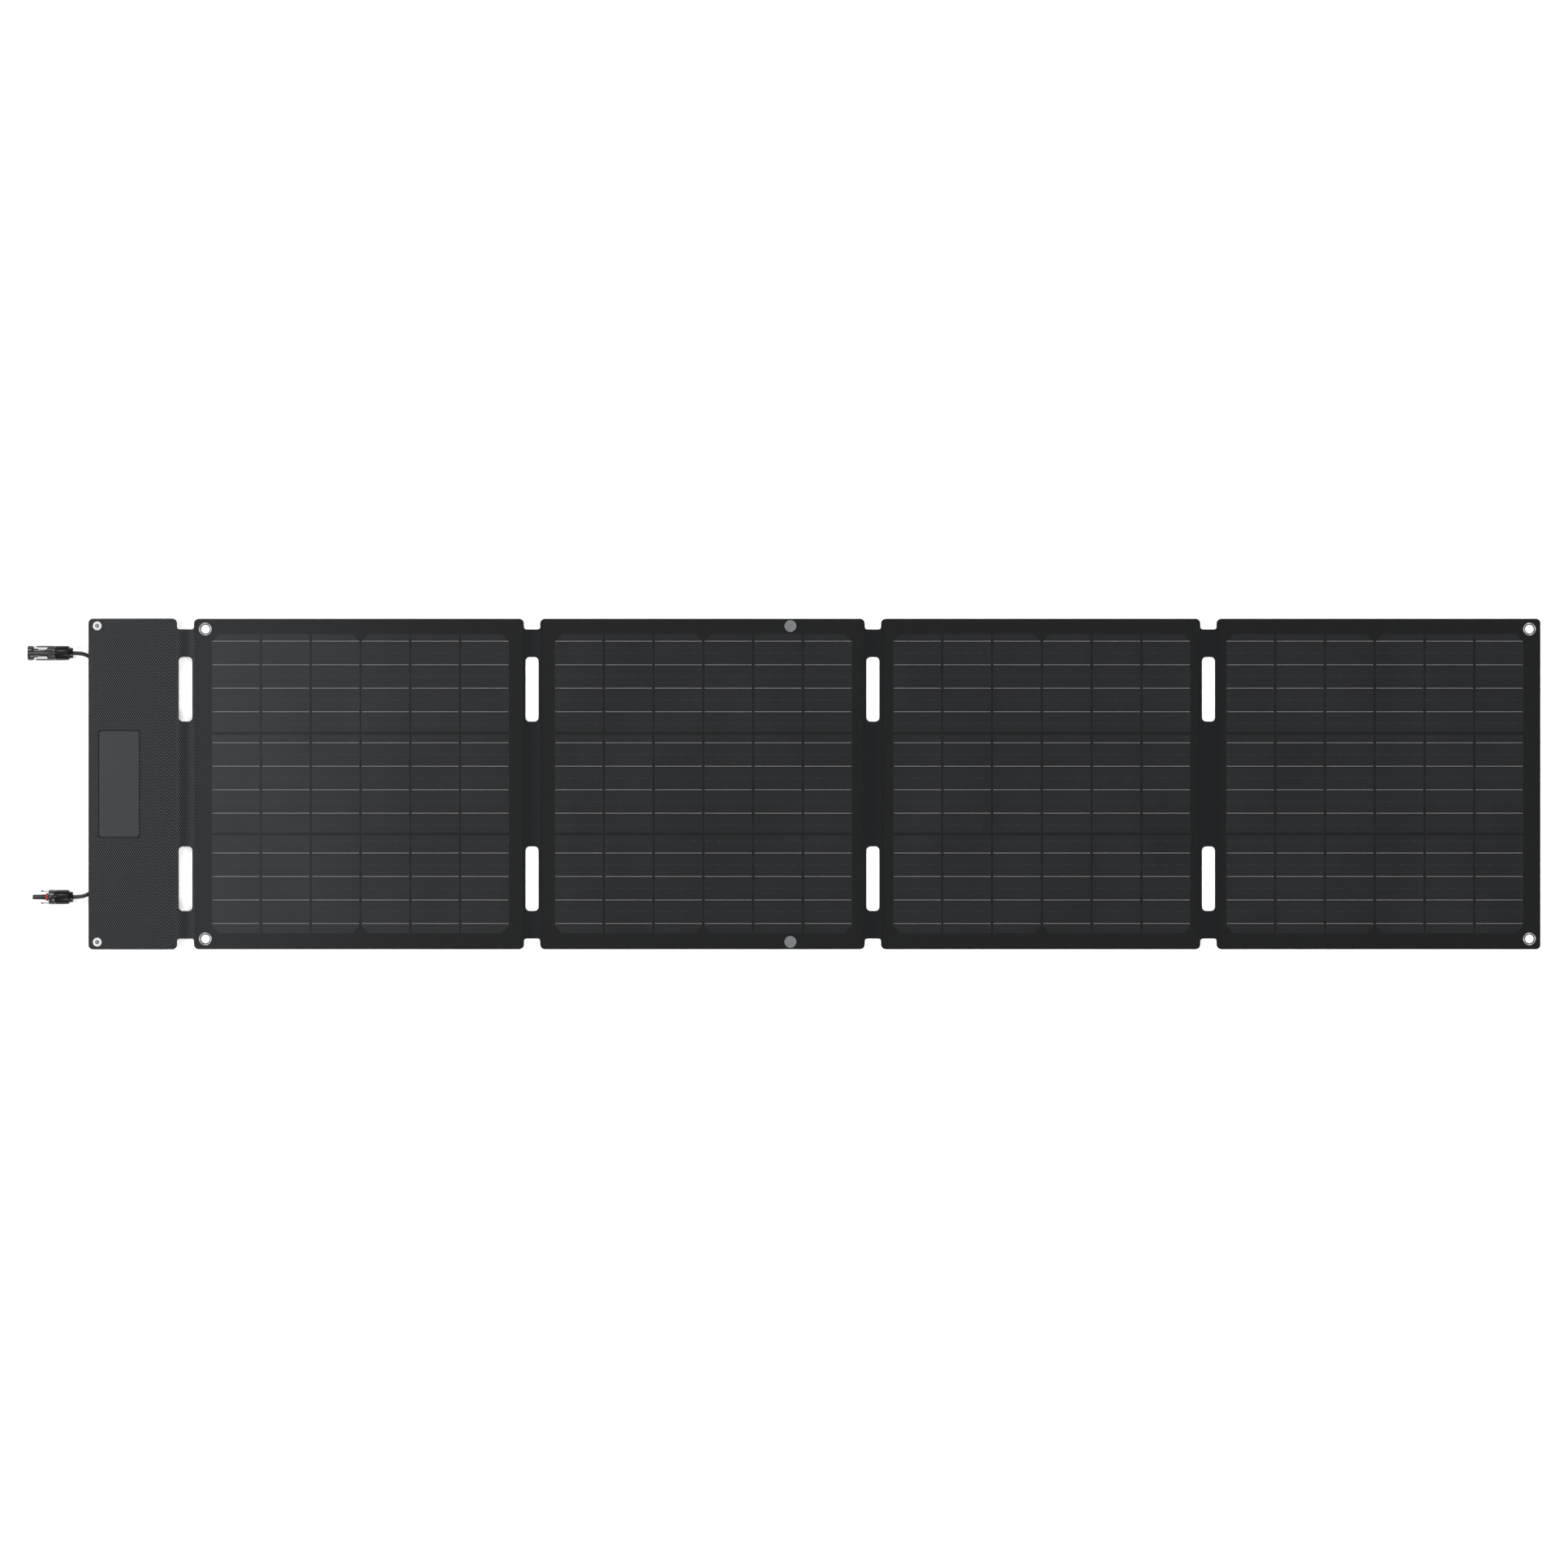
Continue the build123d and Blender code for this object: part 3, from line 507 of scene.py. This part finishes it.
def web_mesh(name, fold, rise):
    """Closed mesh of one web about its fold, with each point's flat place as an attribute."""
    vertices, flat, index, faces = [], [], {}, []

    def corner(x, y, level):
        key = (round(x, 4), round(y, 4), level)
        if key not in index:
            z = web_heights(x, rise)[level]
            index[key] = len(vertices)
            vertices.append((fold + x * MM, y * MM, z * MM))
            flat.append((fold + x * MM, y * MM, 0.0))
        return index[key]

    rim = {}
    for quad in web_cells(web_columns()):
        top = [corner(x, y, 1) for x, y in quad]
        bottom = [corner(x, y, 0) for x, y in quad]
        faces += [top, bottom[::-1]]
        for a in range(4):
            b = (a + 1) % 4
            shared = (top[b], top[a])
            if shared in rim:
                del rim[shared]
            else:
                rim[top[a], top[b]] = (bottom[a], bottom[b])
    faces += [[top_b, top_a, low_a, low_b] for (top_a, top_b), (low_a, low_b) in rim.items()]
    faces = [list(dict.fromkeys(face)) for face in faces]
    mesh = bpy.data.meshes.new(name)
    mesh.from_pydata(vertices, [], [face for face in faces if len(face) > 2])
    place = mesh.attributes.new(FLAT_PLACE, "FLOAT_VECTOR", "POINT")
    place.data.foreach_set("vector", [number for point in flat for number in point])
    return mesh


def fold_web(name, joint, material, rise=0.0):
    """One web about the fold of its joint.

    The flap is raised and lies to the left of its fold, and each other child to the right."""
    fold = joint["pos_m"][0]
    mesh = web_mesh(name, fold, rise)
    mesh.materials.append(material)
    web = bpy.data.objects.new(name, mesh)
    bpy.context.scene.collection.objects.link(web)
    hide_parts(name)
    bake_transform(web)
    return web


# ---- Turned pieces ----

TURN_STEPS = 72
SMOOTH_UNDER = radians(35)


def arc(r, z, radius, start, end, count=8):
    """Points of an arc in a profile, by angle in degrees from the outward direction."""
    angles = [radians(start + (end - start) * n / count) for n in range(count + 1)]
    return [(r + radius * cos(a), z + radius * sin(a)) for a in angles]


def turned(name, profile, places, body, material, node=None, inside=None):
    """Mesh turned from a closed profile of (radius, height) in millimetres, at each place.

    inside is a second material and the radius within which it is used."""
    vertices, faces, radii = [], [], []
    count = len(profile)
    for x, y in places:
        base = len(vertices)
        for step in range(TURN_STEPS):
            turn = 2 * pi * step / TURN_STEPS
            for r, z in profile:
                vertices.append((x + r * MM * cos(turn), y + r * MM * sin(turn), z * MM))
        for step in range(TURN_STEPS):
            here, there = base + step * count, base + (step + 1) % TURN_STEPS * count
            for n in range(count):
                m = (n + 1) % count
                if profile[n][0] or profile[m][0]:
                    faces.append((here + n, there + n, there + m, here + m))
                    radii.append(max(profile[n][0], profile[m][0]))
    mesh = bpy.data.meshes.new(name)
    mesh.from_pydata(vertices, [], faces)
    mesh.materials.append(material)
    if inside:
        mesh.materials.append(inside[0])
        mesh.polygons.foreach_set("material_index", [int(radius < inside[1]) for radius in radii])
    piece = bpy.data.objects.new(name, mesh)
    bpy.context.scene.collection.objects.link(piece)
    tidy_mesh(mesh)
    if node:
        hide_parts(node)
    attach(piece, body)
    return piece


def tidy_mesh(mesh):
    """Join doubled points, face every side outwards and shade the rounds smooth."""
    work = bmesh.new()
    work.from_mesh(mesh)
    bmesh.ops.remove_doubles(work, verts=work.verts, dist=1e-6)
    bmesh.ops.dissolve_degenerate(work, edges=work.edges, dist=1e-7)
    bmesh.ops.recalc_face_normals(work, faces=work.faces)
    for edge in work.edges:
        edge.smooth = edge.calc_face_angle(0.0) < SMOOTH_UNDER
    for face in work.faces:
        face.smooth = True
    work.to_mesh(mesh)
    work.free()


def round_pair(node):
    """Centres of the two round pieces of one node, which lie at the two ends of its box."""
    low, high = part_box(node)
    radius = (high.x - low.x) / 2
    return [(low.x + radius, low.y + radius), (low.x + radius, high.y - radius)]


# Within this radius the eyelet is dark steel: painted shade in its funnel and bore.
EYELET_SHADE_RADIUS = 6.5


def eyelet_profile():
    """Pressed eyelet: a rolled lip that runs down into a funnel and a smooth bore."""
    top = PANEL_TOP / MM
    lip = arc(7.1, top, 0.8, 0, 150, 16)
    funnel = [(6.08, top + 0.2), (5.75, top - 0.05), (5.5, top - 0.6), (5.36, top - 1.3)]
    foot = arc(5.6, 0.3, 0.3, 180, 270, 4)
    return [*lip, *funnel, *foot, (5.78, 0.0), (5.78, top - 0.08)]


def stud_ring_profile():
    """Base ring of a snap stud with a round well in its middle."""
    bottom = FLAP_TOP / MM
    top, floor = bottom + 0.9, bottom + 0.35
    rim = arc(4.95, top - 0.4, 0.4, 0, 90, 6)
    well = arc(2.8, top - 0.3, 0.3, 90, 180, 6)
    return [(0.0, bottom), (5.35, bottom), *rim, (4.1, top - 0.06), *well, (2.5, floor), (0.0, floor)]


def stud_post_profile():
    """Waisted post of a snap stud, with a domed head."""
    bottom = FLAP_TOP / MM
    head = arc(1.35, bottom + 2.5, 0.6, 0, 90, 6)
    waist = [(1.75, bottom + 0.36), (1.4, bottom + 0.8), (1.4, bottom + 1.5), (1.95, bottom + 2.1)]
    return [(0.0, bottom + 0.36), *waist, *head, (0.0, bottom + 3.14)]


def stud_tip_profile():
    """Small rolled disc on the post's head, in pale metal as a painted highlight in the middle of the
    stud.
    """
    foot = FLAP_TOP / MM + 3.0
    return [(0.0, foot), (0.75, foot), *arc(0.5, foot, 0.2, 20, 90, 4), (0.0, foot + 0.18)]


def cap_profile():
    """Snap cap: a flat face inside a raised round rim."""
    bottom = PANEL_TOP / MM
    rim = arc(6.75, bottom + 0.2, 0.6, 0, 125, 12)
    face = [(6.1, bottom + 0.58), (5.9, bottom + 0.56), (0.0, bottom + 0.6)]
    return [(0.0, bottom), (7.3, bottom), *rim, *face]


def turned_pieces(chrome, pale_nickel_and_highlight, dark_steel_and_shade, grey):
    """Eyelets, snap studs and snap caps."""
    # The eyelets' funnels and bores are dark steel though each eyelet is one pressed piece: painted
    # shade in the bore.
    funnel = (dark_steel_and_shade, EYELET_SHADE_RADIUS)
    for panel in ("panel_1", "panel_4"):
        node = f"{panel}_eyelets"
        turned(
            f"{node}_pressed", eyelet_profile(), round_pair(node), panel,
            chrome, node, inside=funnel,
        )
    studs = round_pair("flap_snap_studs")
    turned(
        "snap_stud_rings", stud_ring_profile(), studs, "flap",
        pale_nickel_and_highlight, "flap_snap_studs",
    )
    # The posts are dark steel inside the pale rings, painted shade round the stud's middle, and the
    # pale tips on their heads are painted highlights.
    turned("snap_stud_posts", stud_post_profile(), studs, "flap", dark_steel_and_shade)
    turned("snap_stud_highlight_tips", stud_tip_profile(), studs, "flap", pale_nickel_and_highlight)
    caps = round_pair("panel_2_snap_caps")
    turned("snap_cap_faces", cap_profile(), caps, "panel_2", grey, "panel_2_snap_caps")


# ---- Leads ----

# Diameter and routes are in millimetres.
LEAD_DIAMETER = 5.0
FIRST_ROUTE = [
    (-873, 63.5, 7.0), (-873, 86.0, 7.0), (-874.6, 108.6, 4.9), (-877.2, 124.0, 3.3),
    (-879.0, 135.7, 3.5), (-881.9, 144.8, 4.6), (-887.5, 152.5, 6.3), (-895.2, 158.1, 8.1),
    (-904.2, 161.2, 9.15), (-916.3, 161.2, 9.15),
]
SECOND_ROUTE = [
    (-873, -63.5, 7.0), (-873, -81.5, 7.0), (-875.4, -99.8, 4.4), (-879.0, -113.6, 3.6),
    (-882.0, -122.9, 4.5), (-887.6, -130.6, 6.2), (-895.2, -136.2, 8.0), (-904.2, -139.2, 9.15),
    (-916.3, -139.2, 9.15),
]
PLUG_PARTS = ("housing", "nut", "seal", "contact")


def lead(name, route, jacket):
    """One cable on a smooth line through its route, from the junction box to its plug."""
    curve = bpy.data.curves.new(name, "CURVE")
    curve.dimensions = "3D"
    curve.bevel_depth = LEAD_DIAMETER / 2 * MM
    curve.bevel_resolution = 8
    curve.resolution_u = 16
    curve.use_fill_caps = True
    line = curve.splines.new("NURBS")
    line.points.add(len(route) - 1)
    for point, place in zip(line.points, route):
        point.co = (*(number * MM for number in place), 1)
    line.order_u = 3
    line.use_endpoint_u = True
    curve.materials.append(jacket)
    cable = bpy.data.objects.new(f"{name}_flex", curve)
    bpy.context.scene.collection.objects.link(cable)
    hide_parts(name)
    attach(cable, "flap")
    return cable


# ---- CAD nodes ----

# The moulded pieces whose sharp edges are rounded, and the width of the round in millimetres.
EDGE_ROUND = 0.25
SOFT_EDGED = (
    "first_plug_housing", "first_plug_nut", "second_plug_housing", "second_plug_nut", "box_housing",
)


def finish_node(name, material):
    """Give a CAD node its finished material."""
    slots = NODES[name].material_slots
    if slots:
        for slot in slots:
            slot.material = material
    else:
        NODES[name].data.materials.append(material)


def soften(name, width):
    """Round the sharp edges of a moulded CAD node."""
    piece = NODES[name]
    weld = piece.modifiers.new("weld", "WELD")
    weld.merge_threshold = 1e-6
    bevel = piece.modifiers.new("soft_edges", "BEVEL")
    bevel.width = width * MM
    bevel.segments = 2
    bevel.limit_method = "ANGLE"
    bevel.angle_limit = radians(40)
    bevel.harden_normals = False


# ---- Stage ----

# A camera straight above, whose frame is this wide at the height of the panels.
CAMERA_LENS, CAMERA_SENSOR = 200, 36
FRAME_SIDE, FRAME_CENTRE_X = 1.932, -0.038

# Four wide suns, each with its direction in degrees and its strength, and a softbox on the left.
SUN_TILT, SUN_SIZE = 48, 18
SUNS = ((100, 1.5), (190, 1.45), (-80, 1.45), (10, 1.4))
SOFTBOX_PLACE, SOFTBOX_AIM = Vector((-2.5, 0.3, 3.0)), Vector((-0.8, 0, 0))
SOFTBOX_WIDTH, SOFTBOX_LENGTH, SOFTBOX_POWER = 1.2, 2.4, 40

FLOOR_HALF, FLOOR_GAP = 40.0, 0.3 * MM
SKY_COLOUR, SKY_STRENGTH = (0.95, 0.97, 1.0), 0.08


def place_on_stage(name, data, location=(0, 0, 0)):
    """A new object of the stage."""
    made = bpy.data.objects.new(name, data)
    made.location = location
    bpy.context.scene.collection.objects.link(made)
    return made


def add_floor(material):
    """Wide flat floor just under the sheet."""
    half, z = FLOOR_HALF, CAD_BOX[0].z - FLOOR_GAP
    corners = [(-half, -half, z), (half, -half, z), (half, half, z), (-half, half, z)]
    mesh = bpy.data.meshes.new("floor")
    mesh.from_pydata(corners, [], [(0, 1, 2, 3)])
    mesh.materials.append(material)
    floor = place_on_stage("floor", mesh)


def add_lights():
    """Soft world light, four wide suns and the softbox."""
    world = bpy.data.worlds.new("studio")
    bpy.context.scene.world = world
    world.use_nodes = True
    background = world.node_tree.nodes["Background"]
    background.inputs["Color"].default_value = rgba(SKY_COLOUR)
    background.inputs["Strength"].default_value = SKY_STRENGTH
    for number, (azimuth, strength) in enumerate(SUNS):
        light = bpy.data.lights.new(f"sun_{number}", "SUN")
        light.energy = strength
        light.angle = radians(SUN_SIZE)
        sun = place_on_stage(light.name, light)
        turn, tilt = radians(azimuth), radians(SUN_TILT)
        towards = Vector((cos(turn) * sin(tilt), sin(turn) * sin(tilt), cos(tilt)))
        sun.rotation_euler = towards.to_track_quat("Z", "Y").to_euler()
    softbox = bpy.data.lights.new("left_softbox", "AREA")
    softbox.shape = "RECTANGLE"
    softbox.size, softbox.size_y = SOFTBOX_WIDTH, SOFTBOX_LENGTH
    softbox.energy = SOFTBOX_POWER
    box = place_on_stage(softbox.name, softbox, SOFTBOX_PLACE)
    box.rotation_euler = (SOFTBOX_PLACE - SOFTBOX_AIM).to_track_quat("Z", "Y").to_euler()


def add_camera():
    """Camera straight above the sheet."""
    data = bpy.data.cameras.new("camera")
    data.lens = CAMERA_LENS
    data.sensor_width = CAMERA_SENSOR
    data.clip_end = 100
    height = FRAME_SIDE * CAMERA_LENS / CAMERA_SENSOR
    camera = place_on_stage("camera", data, (FRAME_CENTRE_X, 0, PANEL_TOP + height))
    bpy.context.scene.camera = camera
    bpy.context.scene.view_settings.view_transform = "Standard"


# ---- Build ----

film = film_finish()
flap_film = flap_finish()
cells = cell_finish()
glue = black_glue_finish()
ribbon = ribbon_finish()
cloth = cloth_finish()
board = board_finish()
web = web_finish("fold_web", 0.2, (0.0055, 0.0062, 0.0067), (0.0138, 0.0155, 0.0166))
flap_web = web_finish("flap_web", 0.06, 0.006, (0.068, 0.076, 0.084))
jacket = jacket_finish()
plug_plastic = moulded_finish("plug_plastic", 0.003, 0.006, 0.22, 0.008, 0.22)
# The plug housings are a lighter copy of the nuts' black plastic: painted sheen for their
# reflections.
plug_housing_painted_sheen = moulded_finish("plug_housing_painted_sheen", 0.008, 0.013, 0.26, 0.008)
housing_plastic = moulded_finish("housing_plastic", 0.016, 0.026, 0.5)
plate_plastic = moulded_finish(
    "plate_plastic", (0.0098, 0.0115, 0.0152), (0.0117, 0.0136, 0.0178), 0.46, 0.006,
)
diode_plastic = moulded_finish("diode_plastic", 0.012, 0.02, 0.45)
rubber = moulded_finish("rubber", 0.010, 0.016, 0.7)
red_rubber = moulded_finish("red_rubber", (0.30, 0.010, 0.014), (0.42, 0.016, 0.022), 0.45)
chrome = metal_finish("eyelet_chrome", 0.36, 0.44, 0.32, 0.6)
pale_nickel_and_highlight = metal_finish("pale_nickel_and_highlight", 0.56, 0.64, 0.42, 0.15)
dark_steel_and_shade = metal_finish("dark_steel_and_shade", 0.05, 0.09, 0.34, 0.7)
grey = metal_finish("snap_grey", (0.125, 0.134, 0.136), (0.145, 0.153, 0.155), 0.5, 0.2)
screw_steel = metal_finish("screw_steel", 0.45, 0.6, 0.32)
brass = metal_finish("terminal_brass", (0.62, 0.42, 0.16), (0.78, 0.58, 0.26), 0.28)
tin = metal_finish("contact_tin", 0.66, 0.8, 0.25, 1.0, (0.1, 1, 1))

LAYERS = {
    "front_film": film,
    "encapsulant": glue,
    "cells": cells,
    "ribbons": ribbon,
    "stiffener_board": board,
    "back_fabric": cloth,
}
for panel in PANELS:
    for layer, material in LAYERS.items():
        finish_node(f"{panel}_{layer}", material)

PLUG_LAYERS = {"housing": plug_housing_painted_sheen, "nut": plug_plastic, "seal": rubber, "contact": tin}
for plug in ("first_plug", "second_plug"):
    for part in PLUG_PARTS:
        finish_node(f"{plug}_{part}", PLUG_LAYERS[part])

OTHERS = {
    "flap_front_film": flap_film,
    "flap_stiffener_board": board,
    "flap_back_fabric": cloth,
    "flap_snap_backs": screw_steel,
    "panel_1_eyelet_washers": chrome,
    "panel_4_eyelet_washers": chrome,
    "panel_2_snap_sockets": dark_steel_and_shade,
    "box_front_plate": plate_plastic,
    "box_housing": housing_plastic,
    "box_gasket": rubber,
    "box_screws": screw_steel,
    "box_circuit_board": circuit_board_finish(),
    "box_bypass_diodes": diode_plastic,
    "box_terminals": brass,
    "box_cable_glands": rubber,
    "second_plug_o_ring": red_rubber,
}
for name, material in OTHERS.items():
    finish_node(name, material)
for name in SOFT_EDGED:
    soften(name, EDGE_ROUND)

JOINTS = {joint["name"]: joint for joint in frame["joints"]}
fold_web("fold_web_flap", JOINTS["fold_flap"], flap_web, rise=(FLAP_TOP - PANEL_TOP) / MM)
fold_web("fold_web_12", JOINTS["fold_12"], web)
fold_web("fold_web_23", JOINTS["fold_23"], web)
fold_web("fold_web_34", JOINTS["fold_34"], web)
turned_pieces(chrome, pale_nickel_and_highlight, dark_steel_and_shade, grey)
lead(
    "first_lead_cable", FIRST_ROUTE, jacket,
)
lead(
    "second_lead_cable", SECOND_ROUTE, jacket,
)
add_floor(floor_finish())
add_lights()
add_camera()
